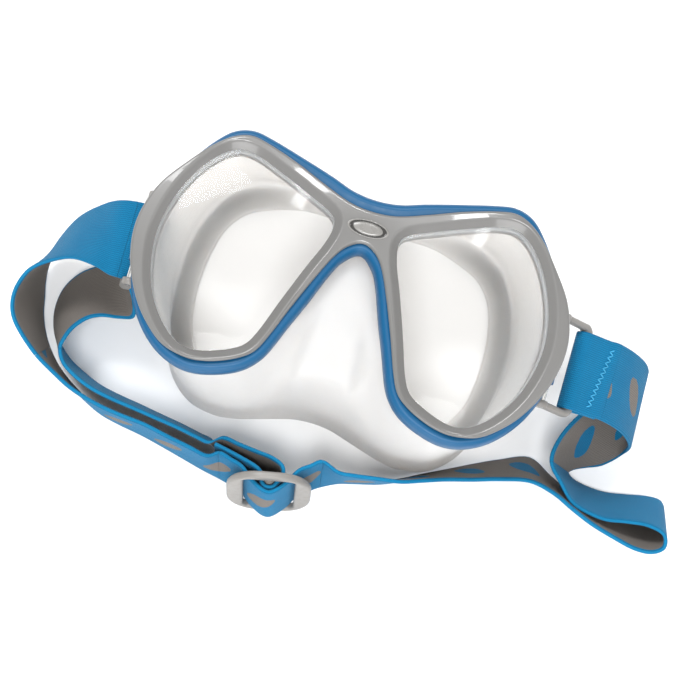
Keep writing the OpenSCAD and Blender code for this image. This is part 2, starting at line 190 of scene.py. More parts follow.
def tidy(obj, angle):
    """Merges doubles, turns the normals outwards and shades smooth up to the angle given."""
    bm = bmesh.new()
    bm.from_mesh(obj.data)
    bmesh.ops.remove_doubles(bm, verts=bm.verts, dist=1e-6)
    loose = [v for v in bm.verts if not v.link_faces]
    bmesh.ops.delete(bm, geom=loose, context="VERTS")
    bmesh.ops.recalc_face_normals(bm, faces=bm.faces)
    for face in bm.faces:
        face.smooth = True
    limit = math.radians(angle)
    for edge in bm.edges:
        edge.smooth = len(edge.link_faces) == 2 and edge.calc_face_angle(0) < limit
    bm.to_mesh(obj.data)
    bm.free()


# ---------------------------------------------------------------- materials
def shader(name, color, roughness, **sockets):
    mat = bpy.data.materials.new(name)
    mat.use_nodes = True
    node = mat.node_tree.nodes["Principled BSDF"]
    node.inputs["Base Color"].default_value = (*color, 1)
    node.inputs["Roughness"].default_value = roughness
    for key, value in sockets.items():
        node.inputs[key.replace("_", " ")].default_value = value
    return mat, mat.node_tree, node


def new(tree, kind, **inputs):
    node = tree.nodes.new(kind)
    for key, value in inputs.items():
        if hasattr(node, key):
            setattr(node, key, value)
        else:
            node.inputs[key.replace("_", " ")].default_value = value
    return node


def math_node(tree, op, a, b=None, c=None):
    node = tree.nodes.new("ShaderNodeMath")
    node.operation = op
    for i, value in enumerate((a, b, c)):
        if value is None:
            continue
        if isinstance(value, (int, float)):
            node.inputs[i].default_value = value
        else:
            tree.links.new(value, node.inputs[i])
    return node.outputs[0]


def attribute(tree, name):
    node = tree.nodes.new("ShaderNodeAttribute")
    node.attribute_name = name
    return node.outputs["Fac"]


def noise(tree, scale, detail=3.0, rough=0.5):
    coord = tree.nodes.new("ShaderNodeTexCoord")
    tex = new(tree, "ShaderNodeTexNoise", Scale=scale, Detail=detail, Roughness=rough)
    tree.links.new(coord.outputs["Object"], tex.inputs["Vector"])
    return tex.outputs["Fac"]


def ramp(tree, value, low, high, to_low, to_high):
    node = tree.nodes.new("ShaderNodeMapRange")
    node.interpolation_type = "SMOOTHSTEP"
    for i, number in enumerate((low, high, to_low, to_high)):
        node.inputs[i + 1].default_value = number
    tree.links.new(value, node.inputs[0])
    return node.outputs[0]


def mix(tree, factor, a, b):
    node = tree.nodes.new("ShaderNodeMix")
    node.data_type = "RGBA"
    tree.links.new(factor, node.inputs["Factor"])
    for socket, value in ((node.inputs[6], a), (node.inputs[7], b)):
        if isinstance(value, tuple):
            socket.default_value = (*value, 1)
        else:
            tree.links.new(value, socket)
    return node.outputs[2]


def bump(tree, node, height, strength, depth):
    b = new(tree, "ShaderNodeBump", Strength=strength, Distance=depth)
    tree.links.new(height, b.inputs["Height"])
    tree.links.new(b.outputs["Normal"], node.inputs["Normal"])


def plastic(name, color, roughness, grain=900, depth=0.00003, tint=0.06, scuffed=0.15, **sockets):
    """Moulded plastic: slight colour drift, fine grain in the gloss and a faint orange peel."""
    mat, tree, node = shader(name, color, roughness, **sockets)
    drift = noise(tree, 55, 3)
    darker = tuple(c * (1 - tint) for c in color)
    lighter = tuple(min(1, c * (1 + tint)) for c in color)
    tree.links.new(mix(tree, drift, darker, lighter), node.inputs["Base Color"])
    scuff = noise(tree, 420, 6, 0.62)
    tree.links.new(ramp(tree, scuff, 0.35, 0.75, roughness * (1 - scuffed), roughness * (1 + scuffed)),
                   node.inputs["Roughness"])
    bump(tree, node, noise(tree, grain, 4), 0.25, depth)
    return mat


SILICONE_DARK, SILICONE_LIGHT = (0.86, 0.828, 0.796), (0.90, 0.872, 0.842)
# the second colour is painted shade for the badge's groove
GROOVE_PAINTED_SHADE = (0.018, 0.017, 0.015)


def badge_satin():
    """Satin grey inlay, with painted shade: near black in the groove between its rim and its middle."""
    mat = plastic("badge_grey_satin", (0.19, 0.185, 0.175), 0.3, tint=0.08, Coat_Weight=0.3)
    tree = mat.node_tree
    base = tree.nodes["Principled BSDF"].inputs["Base Color"]
    satin = base.links[0].from_socket
    # painted shade: the groove's points are mixed to near black, as if in shadow
    tree.links.new(mix(tree, attribute(tree, "groove_shade"), satin, GROOVE_PAINTED_SHADE), base)
    return mat


def silicone():
    """Frosted clear silicone: cloudy, soft and letting light through."""
    mat, tree, node = shader("frosted_silicone", SILICONE_LIGHT, 0.5, Subsurface_Weight=0.9,
                             Subsurface_Scale=0.03, IOR=1.41, Transmission_Weight=0.3)
    node.inputs["Subsurface Radius"].default_value = (1.0, 0.92, 0.85)
    cloud = noise(tree, 24, 4)
    tree.links.new(mix(tree, cloud, SILICONE_DARK, SILICONE_LIGHT), node.inputs["Base Color"])
    tree.links.new(ramp(tree, noise(tree, 500, 5), 0.3, 0.7, 0.42, 0.58), node.inputs["Roughness"])
    bump(tree, node, noise(tree, 1400, 3), 0.2, 0.00003)
    return mat


def glass():
    """Clear lens: see-through, with a gloss that grows towards grazing angles on both of its faces."""
    mat = bpy.data.materials.new("tempered_glass")
    mat.use_nodes = True
    tree = mat.node_tree
    tree.nodes.clear()
    out = tree.nodes.new("ShaderNodeOutputMaterial")
    clear = tree.nodes.new("ShaderNodeBsdfTransparent")
    clear.inputs["Color"].default_value = (0.998, 1, 0.999, 1)
    gloss = tree.nodes.new("ShaderNodeBsdfGlossy")
    facing = new(tree, "ShaderNodeLayerWeight", Blend=0.5).outputs["Facing"]
    share = math_node(tree, "MULTIPLY_ADD", math_node(tree, "POWER", facing, 5.0), 0.6, 0.008)
    smear = ramp(tree, noise(tree, 60, 5), 0.45, 0.75, 0.01, 0.05)
    tree.links.new(smear, gloss.inputs["Roughness"])
    both = tree.nodes.new("ShaderNodeMixShader")
    tree.links.new(share, both.inputs[0])
    tree.links.new(clear.outputs[0], both.inputs[1])
    tree.links.new(gloss.outputs[0], both.inputs[2])
    tree.links.new(both.outputs[0], out.inputs[0])
    return mat


BLUE_YARN = (0.002, 0.103, 0.225)
# the darker and lighter yarn colours here are painted shade for the weave's valleys and painted highlight for
# its ribs
BLUE_YARN_PAINTED_SHADE = (0.001, 0.05, 0.125)
BLUE_YARN_PAINTED_HIGHLIGHT = (0.006, 0.17, 0.335)
GREY_YARN = (0.135, 0.121, 0.109)
GREY_YARN_PAINTED_SHADE = (0.07, 0.062, 0.056)
GREY_YARN_PAINTED_HIGHLIGHT = (0.18, 0.163, 0.147)
STRAP_W = 30.6
REPEAT = 22.0  # of the woven ovals along the strap, in mm
STRAP_T = 1.6


def webbing():
    """Elastic jacquard webbing: blue outside, grey inside, the colours swapped in plain woven ovals."""
    mat, tree, node = shader("elastic_webbing", BLUE_YARN, 0.9, Sheen_Weight=0.06, Sheen_Roughness=0.5,
                             Specular_IOR_Level=0.12)
    along, across = attribute(tree, "along"), attribute(tree, "across")
    side, edge = attribute(tree, "side"), attribute(tree, "edge")
    # plain slanted ovals, one every repeat length, swap the two yarns
    slant = math_node(tree, "MULTIPLY_ADD", across, 0.55, along)
    turn = math_node(tree, "FRACT", math_node(tree, "DIVIDE", slant, REPEAT))
    place = math_node(tree, "SUBTRACT", turn, 0.5)
    long_way = math_node(tree, "DIVIDE", math_node(tree, "MULTIPLY", place, REPEAT), 4.6)
    wide_way = math_node(tree, "DIVIDE", across, 6.5)
    spot = math_node(tree, "ADD", math_node(tree, "POWER", math_node(tree, "ABSOLUTE", long_way), 2.4),
                     math_node(tree, "POWER", math_node(tree, "ABSOLUTE", wide_way), 2.4))
    ragged = math_node(tree, "ADD", spot, math_node(tree, "MULTIPLY", noise(tree, 900, 2), 0.35))
    spot_in = ramp(tree, ragged, 1.1, 1.22, 1.0, 0.0)
    marks = math_node(tree, "MULTIPLY", spot_in, attribute(tree, "marked"))
    outer = ramp(tree, side, -0.75, -0.6, 0.0, 1.0)
    swapped = math_node(tree, "ABSOLUTE", math_node(tree, "SUBTRACT", outer, marks))
    is_blue = math_node(tree, "MAXIMUM", swapped, ramp(tree, edge, 0.9, 0.93, 0.0, 1.0))
    # the weave: weft ribs across, warp ribs along, set half a step off in alternate rows
    weft = math_node(tree, "SINE", math_node(tree, "MULTIPLY", along, 2 * math.pi / 0.95))
    rows = math_node(tree, "MULTIPLY", across, 2 * math.pi / 0.8)
    warp = math_node(tree, "SINE", math_node(tree, "ADD", rows, math_node(tree, "MULTIPLY", weft, 1.2)))
    cloth = math_node(tree, "MULTIPLY_ADD", math_node(tree, "MULTIPLY", weft, warp), 0.5, 0.5)
    fuzz = noise(tree, 2600, 3, 0.7)
    height = math_node(tree, "ADD", cloth, math_node(tree, "MULTIPLY", fuzz, 0.7))
    # painted shade and painted highlight: each yarn goes darker in the weave's valleys and lighter on its
    # ribs, by the weave's height
    blue = mix(tree, ramp(tree, height, 0.2, 1.2, 0, 1), BLUE_YARN_PAINTED_SHADE, BLUE_YARN_PAINTED_HIGHLIGHT)
    grey = mix(tree, ramp(tree, height, 0.2, 1.2, 0, 1), GREY_YARN_PAINTED_SHADE, GREY_YARN_PAINTED_HIGHLIGHT)
    cloud = ramp(tree, noise(tree, 70, 3), 0.3, 0.7, 0.0, 0.35)
    blue = mix(tree, cloud, blue, BLUE_YARN)
    grey = mix(tree, cloud, grey, GREY_YARN)
    tree.links.new(mix(tree, is_blue, grey, blue), node.inputs["Base Color"])
    tree.links.new(ramp(tree, fuzz, 0.3, 0.7, 0.75, 0.92), node.inputs["Roughness"])
    bump(tree, node, height, 0.55, 0.00022)
    return mat


FRAME_BLUE = plastic("frame_blue_plastic", (0.0015, 0.076, 0.185), 0.42, Specular_IOR_Level=0.32)
BEZEL_GREY = plastic("bezel_grey_lacquer", (0.14, 0.138, 0.134), 0.34, depth=0.000008, tint=0.03, scuffed=0.05,
                     Coat_Weight=0.4, Coat_Roughness=0.035)
BADGE_GREY = badge_satin()
CLIP_GREY = plastic("clip_grey_nylon", (0.20, 0.19, 0.178), 0.42, depth=0.00005)
STEEL = plastic("pin_steel", (0.62, 0.62, 0.60), 0.28, Metallic=1.0)
THREAD = plastic("sewing_thread", (0.03, 0.31, 0.54), 0.6, grain=4000, depth=0.0001, tint=0.2)
SKIN = silicone()
GLASS = glass()
WEB = webbing()

# ---------------------------------------------------------------- outlines of the front, in mm
BEZEL_HALF = [[0, 29.5], [9, 30.5], [20, 34.4], [32, 39.2], [44, 43], [51.5, 44.2], [58, 41.8],
              [64.2, 36.6], [71.3, 28], [78.2, 18], [81.8, 8], [82.8, 0], [82, -8], [79.3, -17],
              [73.6, -27.5], [67, -35], [59.8, -40.2], [51, -42.2], [44, -41.6], [37.2, -39.4],
              [31.4, -36.4], [27, -32.6], [23.6, -25.7], [19.1, -13.7], [13.8, -0.7], [9.1, 9.4],
              [5, 14.6], [0, 16.9]]
FRAME_HALF = [[0, 35], [9, 36], [18, 39], [30, 42.5], [43, 46], [51, 47.3], [58, 45.2],
              [64, 39.5], [71, 29.5], [77.5, 18], [80.6, 7], [81.2, -3], [80.6, -12], [78.4, -21],
              [74.5, -29.5], [68.5, -37.3], [61.5, -42.8], [53.5, -45.9], [46, -46.2], [38, -44.2],
              [31, -41], [26, -36.7], [22.3, -31], [18, -20], [13.5, -9], [9, 3], [5.5, 9.5], [0, 13.6]]
LENS_RIGHT = [[12.5, 20.5], [15, 24.9], [25, 29.5], [38, 34.8], [48, 38.2], [55, 38], [62, 32.8],
              [68, 24], [72.5, 13], [74.5, 2], [74, -8], [71, -19], [66, -28], [59, -35.3],
              [52, -38.5], [45, -37.8], [37, -34.8], [31.5, -31.3], [28, -25], [23.5, -12], [18, 3],
              [14, 13]]
BEZEL_LOW_Z, LENS_LOW_Z = 68.0, 64.0
LENS_LAP = 2.4
GRID_STEP = 3.0  # between the points inside a plate's top face
bezel_outline = closed_curve(both_halves(BEZEL_HALF), 6)
frame_outline = closed_curve(both_halves(FRAME_HALF), 6)
right_window = closed_curve(LENS_RIGHT, 8)
left_window = mirrored(right_window)


def at_height(outline, z):
    return np.column_stack([outline, np.full(len(outline), z)])


def plate_with_windows(build, outline, rim, windows, sill):
    """A plate: rim and sill are (inset, z) profiles from the underside to the top face."""
    rim_starts = build.loft([at_height(grown(outline, -d), z) for d, z in rim])
    sill_starts = [build.loft([at_height(grown(w, d), z) for d, z in sill]) for w in windows]
    for top in (False, True):
        k = -1 if top else 0
        outer = grown(outline, -rim[k][0])
        holes = [grown(w, sill[k][0]) for w in windows]
        loops = [(rim_starts[k], len(outline))]
        loops += [(s[k], len(w)) for s, w in zip(sill_starts, windows)]

        def keep(p):
            good = inside(p, outer)
            for h in holes:
                good &= ~inside(p, h)
            return good

        inner = np.zeros((0, 2))
        if top:
            lo, hi = outer.min(axis=0), outer.max(axis=0)
            xs, ys = np.meshgrid(np.arange(lo[0], hi[0], GRID_STEP), np.arange(lo[1], hi[1], GRID_STEP))
            grid = np.column_stack([xs.ravel(), ys.ravel()])
            grid = grid[keep(grid)]
            near = np.minimum(distance(grid, outer), np.min([distance(grid, h) for h in holes], axis=0))
            inner = grid[near > 0.45 * GRID_STEP]

        def height(p):
            a = distance(p, outer)
            b = np.min([distance(p, h) for h in holes], axis=0)
            share = a / np.maximum(a + b, 1e-9)
            return rim[-1][1] + (sill[-1][1] - rim[-1][1]) * share

        build.fill(loops, keep, inner, height)


# ---------------------------------------------------------------- frame, bezel, badge, lenses
build = Build()
plate_with_windows(
    build, frame_outline,
    [(1.0, 60.0), (0.35, 60.3), (0.0, 61.0), (0.0, 63.6), (0.08, 65.2), (0.35, 66.5), (0.85, 67.6),
     (1.5, 68.3), (2.3, 68.65), (3.1, 68.6), (3.7, 68.35)],
    [right_window, left_window], [(LENS_LAP + 0.15, 60.0), (LENS_LAP + 0.15, 67.9)])
blue_frame = build.done("moulded_frame", FRAME_BLUE, "mask", angle=50)
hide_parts("rear_frame")

build = Build()
plate_with_windows(
    build, bezel_outline,
    [(0.5, 68.0), (0.1, 68.25), (0.0, 68.7), (0.0, 69.4), (0.1, 69.8), (0.35, 70.15), (0.75, 70.36),
     (1.15, 70.42), (1.35, 70.44)],
    [right_window, left_window],
    [(0.0, 68.0), (0.0, 68.2), (0.25, 68.4), (0.8, 68.85), (1.5, 69.45), (2.2, 70.1), (2.7, 70.5),
     (3.2, 70.75), (3.4, 70.73)])
bezel = build.done("lacquered_bezel", BEZEL_GREY, "mask", angle=50)
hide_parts("front_bezel")

BADGE_Y, BADGE_L, BADGE_W, BADGE_LOW = 22.6, 16.0, 6.6, 70.2
OVAL_POINTS = 72
GROOVE_RISE = (0.43, 0.47)  # of the relief's points that form the groove, which gets painted shade


def oval(scale, z):
    a = np.linspace(0, 2 * math.pi, OVAL_POINTS, endpoint=False)
    return np.column_stack([scale * BADGE_L / 2 * np.cos(a), BADGE_Y + scale * BADGE_W / 2 * np.sin(a),
                            np.full(OVAL_POINTS, z)])


# the inlay's relief: (share of its size, height above its underside), from the rim to the middle
build = Build()
relief = [(1.0, 0.0), (1.0, 0.5), (0.985, 0.6), (0.95, 0.66), (0.91, 0.64), (0.88, 0.46), (0.86, 0.44),
          (0.79, 0.44), (0.74, 0.44), (0.72, 0.46), (0.68, 0.62), (0.45, 0.66), (0.2, 0.69), (0.05, 0.7)]
build.loft([oval(scale, BADGE_LOW + rise) for scale, rise in relief], cap=True)
# marks the groove's points for the painted shade
groove_shade = [float(GROOVE_RISE[0] < rise < GROOVE_RISE[1]) for _, rise in relief]
build.extra = {"groove_shade": np.repeat(groove_shade, OVAL_POINTS)}
badge = build.done("oval_inlay", BADGE_GREY, "mask", angle=60)
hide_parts("bridge_badge")

for side, window in (("right", right_window), ("left", left_window)):
    build = Build()
    lap = grown(window, LENS_LAP)
    rings = [(0.35, LENS_LOW_Z), (0.1, LENS_LOW_Z + 0.1), (0.0, LENS_LOW_Z + 0.4),
             (0.0, BEZEL_LOW_Z - 0.4), (0.1, BEZEL_LOW_Z - 0.1), (0.35, BEZEL_LOW_Z)]
    build.loft([at_height(grown(lap, -d), z) for d, z in rings], cap=True)
    lens = build.done(side + "_glass", GLASS, "mask", angle=25)
    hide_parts(side + "_lens")

# ---------------------------------------------------------------- silicone skirt
WALL_TOP_Z = 58.0
RIM_Z = 1.16
WALL_T = 2.0
RING_TOP = [[0, 32], [12, 33.5], [28, 39], [44, 43], [56, 42], [66, 32.5], [74, 19], [77, 3],
            [76, -11], [71, -25], [62, -37], [50, -42], [39, -40.5], [30, -35.5], [23.5, -23],
            [17.5, -8], [11, 5.5], [0, 16.5]]
RING_HIGH = [[0, 33.5, 48], [12, 35.5, 48], [28, 40, 48], [44, 43, 47], [57, 41, 46],
             [67, 31, 45], [74, 18, 44], [76.5, 3, 44], [75, -11, 44], [70, -25, 44], [61, -38, 45],
             [50, -45, 47], [38, -45, 48], [27, -41, 49], [19, -32, 52.5], [14, -21, 57],
             [8.5, -9, 60.5], [0, -2.5, 61.5]]
RING_LOW = [[0, 38, 28], [13, 39.5, 27], [29, 43, 25], [45, 43.5, 22], [58, 38.5, 19],
            [67, 26, 17], [71.5, 12, 16], [72.5, -2, 16], [70.5, -15, 16], [66, -29, 17],
            [59, -42, 19], [49, -50.5, 21], [38, -52.5, 24], [28, -50.5, 28], [19.5, -45, 35.5],
            [13, -39, 43], [8.5, -35, 50.5], [0, -33.5, 52]]
RING_RIM = [[0, 42.5, 11], [14, 43.5, 9], [30, 45.5, 6], [45, 44.5, 3], [58, 37, RIM_Z],
            [66, 24, RIM_Z], [69.5, 10, RIM_Z], [70, -4, RIM_Z], [69, -17, RIM_Z],
            [65.5, -31, RIM_Z], [58.5, -44, RIM_Z], [49.5, -51.5, RIM_Z], [39, -54, RIM_Z],
            [31, -53.5, 2], [22.5, -51.5, 3.6], [14.5, -49.3, 6], [7, -47.5, 8], [0, -47, 9]]
RING_LIP = [[0, 35, 9], [13, 35.6, 8], [27, 36, 6], [40, 33, 3.5], [49.5, 28.5, 2.5],
            [56, 20, 2.4], [59, 9, 2.4], [60, -3, 2.4], [59.3, -14, 2.4], [57, -24, 2.4],
            [51, -34, 2.6], [44, -40.5, 2.8], [36.5, -43, 3], [29.5, -42.7, 4], [22, -41, 6],
            [14.5, -39.3, 8], [7, -38, 10], [0, -37.5, 11]]
AROUND, DOWN = 6, 9
WALL_INSET = 0.5
top_outline = grown(closed_curve(both_halves(RING_TOP), AROUND), -WALL_INSET)
rings = [at_height(top_outline, WALL_TOP_Z + 1)]
rings += [closed_curve(both_halves(r), AROUND) for r in (RING_HIGH, RING_LOW, RING_RIM, RING_LIP)]
columns = np.array([open_curve([r[j] for r in rings], DOWN) for j in range(len(rings[0]))])
wall = np.transpose(columns, (1, 0, 2))
around = np.roll(wall, -1, axis=1) - np.roll(wall, 1, axis=1)
down = np.gradient(wall, axis=0)
normal = unit(np.cross(down, around))
lip_share = np.linspace(0, 1, len(wall))[:, None, None]
thick = WALL_T * (1 - 0.45 * np.clip((lip_share - 0.75) / 0.25, 0, 1))
inner_wall = wall + thick * normal
build = Build()
tip = (wall[-1] + inner_wall[-1]) / 2 + 0.35 * unit(down[-1])
build.loft(list(wall) + [tip] + list(inner_wall[::-1]), wrap=True)
COLLAR_IN = -0.4
plate_outline = closed_curve(both_halves(RING_TOP), AROUND)
plate_with_windows(build, plate_outline, [(0.3, 58.0), (0.0, 58.3), (0.0, 59.7), (0.3, 60.0)],
                   [right_window, left_window],
                   [(COLLAR_IN + 0.3, 58.0), (COLLAR_IN, 58.3), (COLLAR_IN, 60.0)])
for window in (right_window, left_window):
    section = [(LENS_LAP, 59.5), (LENS_LAP, 64.0), (COLLAR_IN + 0.5, 64.0), (COLLAR_IN + 0.12, 63.85),
               (COLLAR_IN, 63.5), (COLLAR_IN, 59.5)]
    build.loft([at_height(grown(window, d), z) for d, z in section], wrap=True)
skirt = build.done("silicone_skirt", SKIN, "mask", angle=55)
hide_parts("skirt")

# ---------------------------------------------------------------- clips
CLIP_IN, CLIP_REACH, ARM_T, BAR_D, EYE_D, PIN_D = 31.6, 15.0, 2.7, 4.5, 5.6, 3.0
PIN_X, PIN_Z = 80.3, 56.0
DROOP = {"right": 40.0, "left": 78.0}


def clip_frame(side):
    """(middle of the pin, direction from the pin to the bar, across, square to both)."""
    sign = 1 if side == "right" else -1
    a = math.radians(DROOP[side])
    reach = np.array([sign * math.cos(a), 0, -math.sin(a)])
    across = np.array([0, 1.0, 0])
    return np.array([sign * PIN_X, CLIP_Y, PIN_Z]), reach, across, np.cross(reach, across)


def superellipse(a, b, n=20, power=2.8):
    """A section between an ellipse and a rounded rectangle."""
    t = np.linspace(0, 2 * math.pi, n, endpoint=False)
    c, s = np.cos(t), np.sin(t)
    return np.column_stack([a * np.sign(c) * np.abs(c) ** (2 / power),
                            b * np.sign(s) * np.abs(s) ** (2 / power)])


for side in ("right", "left"):
    origin, reach, across, square = clip_frame(side)
    build = Build()
    half, bend = CLIP_IN / 2 + ARM_T / 2, 3.0
    path = [(u, half) for u in np.linspace(0.5, CLIP_REACH - bend, 7)]
    path += [(CLIP_REACH - bend + bend * math.sin(a), half - bend + bend * math.cos(a))
             for a in np.radians(np.arange(11.25, 90, 11.25))]
    path += [(CLIP_REACH, v) for v in np.linspace(half - bend, -half + bend, 13)]
    path += [(CLIP_REACH - bend + bend * math.cos(a), -half + bend - bend * math.sin(a))
             for a in np.radians(np.arange(11.25, 90, 11.25))]
    path += [(u, -half) for u in np.linspace(CLIP_REACH - bend, 0.5, 7)]
    path = np.array(path)
    tangent = unit(np.gradient(path, axis=0))
    rings = []
    for (u, v), (tu, tv) in zip(path, tangent):
        on_bar = min(1.0, max(0.0, abs(tv)))
        a = (ARM_T / 2) * (1 - on_bar) + (BAR_D / 2) * on_bar
        section = superellipse(a, BAR_D / 2, power=2.9 - 0.9 * on_bar)
        rings.append([origin + (u - tv * p) * reach + (v + tu * p) * across + q * square
                      for p, q in section])
    build.loft(rings, cap=True)
    for end in (1, -1):
        section = [(PIN_D / 2, -1.35), (EYE_D / 2 - 0.4, -1.35), (EYE_D / 2, -0.95), (EYE_D / 2, 0.95),
                   (EYE_D / 2 - 0.4, 1.35), (PIN_D / 2, 1.35)]
        turns = np.linspace(0, 2 * math.pi, 36, endpoint=False)
        build.loft([[origin + r * math.cos(t) * reach + r * math.sin(t) * square
                     + (end * half + w) * across for t in turns] for r, w in section], wrap=True)
    clip = build.done(side + "_swivel_clip", CLIP_GREY, side + "_clip", angle=50)
    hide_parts(side + "_clip")

for name in ("left_lug", "right_lug"):
    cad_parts[name].data.materials.clear()
    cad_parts[name].data.materials.append(FRAME_BLUE)
for name in ("left_pin", "right_pin"):
    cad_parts[name].data.materials.clear()
    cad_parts[name].data.materials.append(STEEL)
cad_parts["slider_bar"].data.materials.clear()
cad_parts["slider_bar"].data.materials.append(CLIP_GREY)

# ---------------------------------------------------------------- slider
SLIDER_TURN, SLIDER_LEAN = math.radians(12), math.radians(16)
SLIDER_MID = np.array([-8.3, -78.4, 20.6])
SLIDER_L, SLIDER_W, SLIDER_T, SLIDER_END, SLIDER_CORNER = 33.0, 41.0, 3.0, 6.5, 14.5
BAR_R = 2.0
slide = np.array([math.cos(SLIDER_TURN), math.sin(SLIDER_TURN), 0])
lean = np.array([-math.sin(SLIDER_TURN) * math.sin(SLIDER_LEAN),
                 math.cos(SLIDER_TURN) * math.sin(SLIDER_LEAN), math.cos(SLIDER_LEAN)])
face = np.cross(slide, lean)


def rounded(length, width, radius, per_corner=9, per_side=5):
    """A rounded rectangle whose points match those of any other one made here."""
    a, b = length / 2 - radius, width / 2 - radius
    points = []
    corners = [(a, b, 0), (-a, b, 90), (-a, -b, 180), (a, -b, 270)]
    for k, (cx, cy, start) in enumerate(corners):
        arc = [(cx + radius * math.cos(t), cy + radius * math.sin(t))
               for t in np.radians(np.linspace(start, start + 90, per_corner))]
        points += arc
        nx, ny, nstart = corners[(k + 1) % 4]
        nxt = (nx + radius * math.cos(math.radians(nstart)), ny + radius * math.sin(math.radians(nstart)))
        for s in np.linspace(0, 1, per_side + 2)[1:-1]:
            points.append((arc[-1][0] * (1 - s) + nxt[0] * s, arc[-1][1] * (1 - s) + nxt[1] * s))
    return np.array(points)


slot_l, slot_w = SLIDER_L - 2 * SLIDER_END, STRAP_W + 1.6
outer_edge = rounded(SLIDER_L, SLIDER_W, SLIDER_CORNER)
inner_edge = rounded(slot_l, slot_w, 2.0)
build = Build()
rings = []
for t in np.linspace(0, 2 * math.pi, 28, endpoint=False):
    share = 0.5 - 0.5 * np.sign(math.cos(t)) * abs(math.cos(t)) ** 0.55
    deep = SLIDER_T / 2 * np.sign(math.sin(t)) * abs(math.sin(t)) ** 0.7
    flat = inner_edge * (1 - share) + outer_edge * share
    rings.append([SLIDER_MID + u * slide + w * lean + deep * face for u, w in flat])
build.loft(rings, wrap=True)
slider = build.done("slider_loop", CLIP_GREY, "slider", angle=60)
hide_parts("slider_frame")

# ---------------------------------------------------------------- webbing strap
# Each row is one cross-section: the edge nearer the surface, then the other edge, in metres
# from the middle of the mask. The rows run from the right clip to the slider.
RIGHT_RUN = [
    [.1054, -.0175, .0432, .1060, .0132, .0432], [.1130, -.0180, .0365, .1135, .0128, .0360],
    [.1200, -.0190, .0265, .1200, .0115, .0270], [.1245, -.0200, .0150, .1225, .0080, .0200],
    [.1235, -.0230, .0060, .1190, .0030, .0160], [.1180, -.0280, .0024, .1090, -.0060, .0170],
    [.1120, -.0315, .0016, .0995, -.0175, .0240], [.1075, -.0340, .0013, .0945, -.0275, .0280],
    [.1056, -.0362, .0012, .0938, -.0365, .0295], [.1084, -.0384, .0012, .0998, -.0436, .0298],
    [.1145, -.0396, .0011, .1070, -.0500, .0287], [.1220, -.0398, .0011, .1190, -.0523, .0287],
    [.1310, -.0382, .0011, .1285, -.0508, .0287], [.1385, -.0366, .0011, .1368, -.0498, .0284],
    [.1446, -.0366, .0011, .1440, -.0513, .0274], [.1468, -.0406, .0011, .1455, -.0563, .0270],
    [.1435, -.0450, .0011, .1410, -.0596, .0280], [.1370, -.0463, .0011, .1340, -.0600, .0283],
    [.1280, -.0458, .0011, .1256, -.0583, .0290], [.1180, -.0450, .0011, .1156, -.0556, .0296],
    [.1085, -.0436, .0011, .1066, -.0520, .0299], [.0990, -.0398, .0011, .0980, -.0482, .0299],
    [.0890, -.0350, .0011, .0880, -.0464, .0292], [.0775, -.0394, .0011, .0760, -.0492, .0298],
    [.0675, -.0443, .0011, .0665, -.0522, .0303], [.0575, -.0496, .0011, .0560, -.0552, .0308],
    [.0490, -.0540, .0011, .0480, -.0580, .0310], [.0410, -.0583, .0011, .0400, -.0608, .0313],
    [.0330, -.0618, .0011, .0324, -.0620, .0314], [.0227, -.0646, .0011, .0220, -.0636, .0314],
    [.0170, -.0664, .0020, .0156, -.0642, .0322]]
# from the slider to the top of the left clip
OUTER_RUN = [
    [-.0360, -.0765, .0011, -.0350, -.0723, .0312], [-.0440, -.0746, .0011, -.0425, -.0710, .0313],
    [-.0540, -.0722, .0011, -.0520, -.0694, .0314], [-.0640, -.0700, .0011, -.0615, -.0676, .0314],
    [-.0740, -.0684, .0011, -.0710, -.0668, .0314], [-.0820, -.0666, .0011, -.0790, -.0658, .0314],
    [-.0890, -.0636, .0011, -.0860, -.0643, .0314], [-.0970, -.0592, .0011, -.0935, -.0620, .0313],
    [-.1045, -.0538, .0011, -.1010, -.0584, .0311], [-.1105, -.0473, .0011, -.1095, -.0538, .0310],
    [-.1145, -.0410, .0011, -.1175, -.0476, .0306], [-.1172, -.0345, .0011, -.1228, -.0420, .0300],
    [-.1188, -.0280, .0011, -.1252, -.0360, .0298], [-.1204, -.0215, .0012, -.1250, -.0298, .0306],
    [-.1208, -.0145, .0030, -.1218, -.0230, .0330], [-.1188, -.0060, .0080, -.1150, -.0182, .0363],
    [-.1120, .0040, .0190, -.1055, -.0150, .0415], [-.1025, .0098, .0320, -.0955, -.0165, .0465],
    [-.0945, .0120, .0420, -.0895, -.0180, .0465], [-.0875, .0127, .0448, -.0865, -.0178, .0456]]
# from the bottom of the left clip back to the slider
INNER_RUN = [
    [-.0860, .0122, .0350, -.0828, -.0180, .0364], [-.0880, .0055, .0300, -.0792, -.0235, .0335],
    [-.0925, -.0045, .0185, -.0784, -.0286, .0284], [-.0993, -.0098, .0100, -.0835, -.0304, .0258],
    [-.1067, -.0146, .0050, -.0905, -.0316, .0250], [-.1116, -.0210, .0020, -.0954, -.0344, .0256],
    [-.1130, -.0280, .0010, -.0992, -.0394, .0274], [-.1118, -.0355, .0011, -.1010, -.0442, .0292],
    [-.1082, -.0430, .0011, -.1015, -.0486, .0302], [-.1020, -.0490, .0011, -.0986, -.0536, .0309],
    [-.0950, -.0528, .0011, -.0926, -.0574, .0310], [-.0865, -.0562, .0011, -.0850, -.0602, .0311],
    [-.0776, -.0580, .0011, -.0766, -.0618, .0311], [-.0690, -.0592, .0011, -.0680, -.0628, .0311],
    [-.0600, -.0606, .0011, -.0585, -.0640, .0311], [-.0505, -.0620, .0011, -.0490, -.0652, .0312],
    [-.0420, -.0636, .0011, -.0408, -.0666, .0313], [-.0360, -.0650, .0012, -.0356, -.0672, .0315]]


def slider_row(u, n):
    """A cross-section placed in the slider's own directions: along it, and out of its front."""
    c = SLIDER_MID + u * slide + n * face
    h = lean * STRAP_W / 2
    return np.concatenate([c - h, c + h])


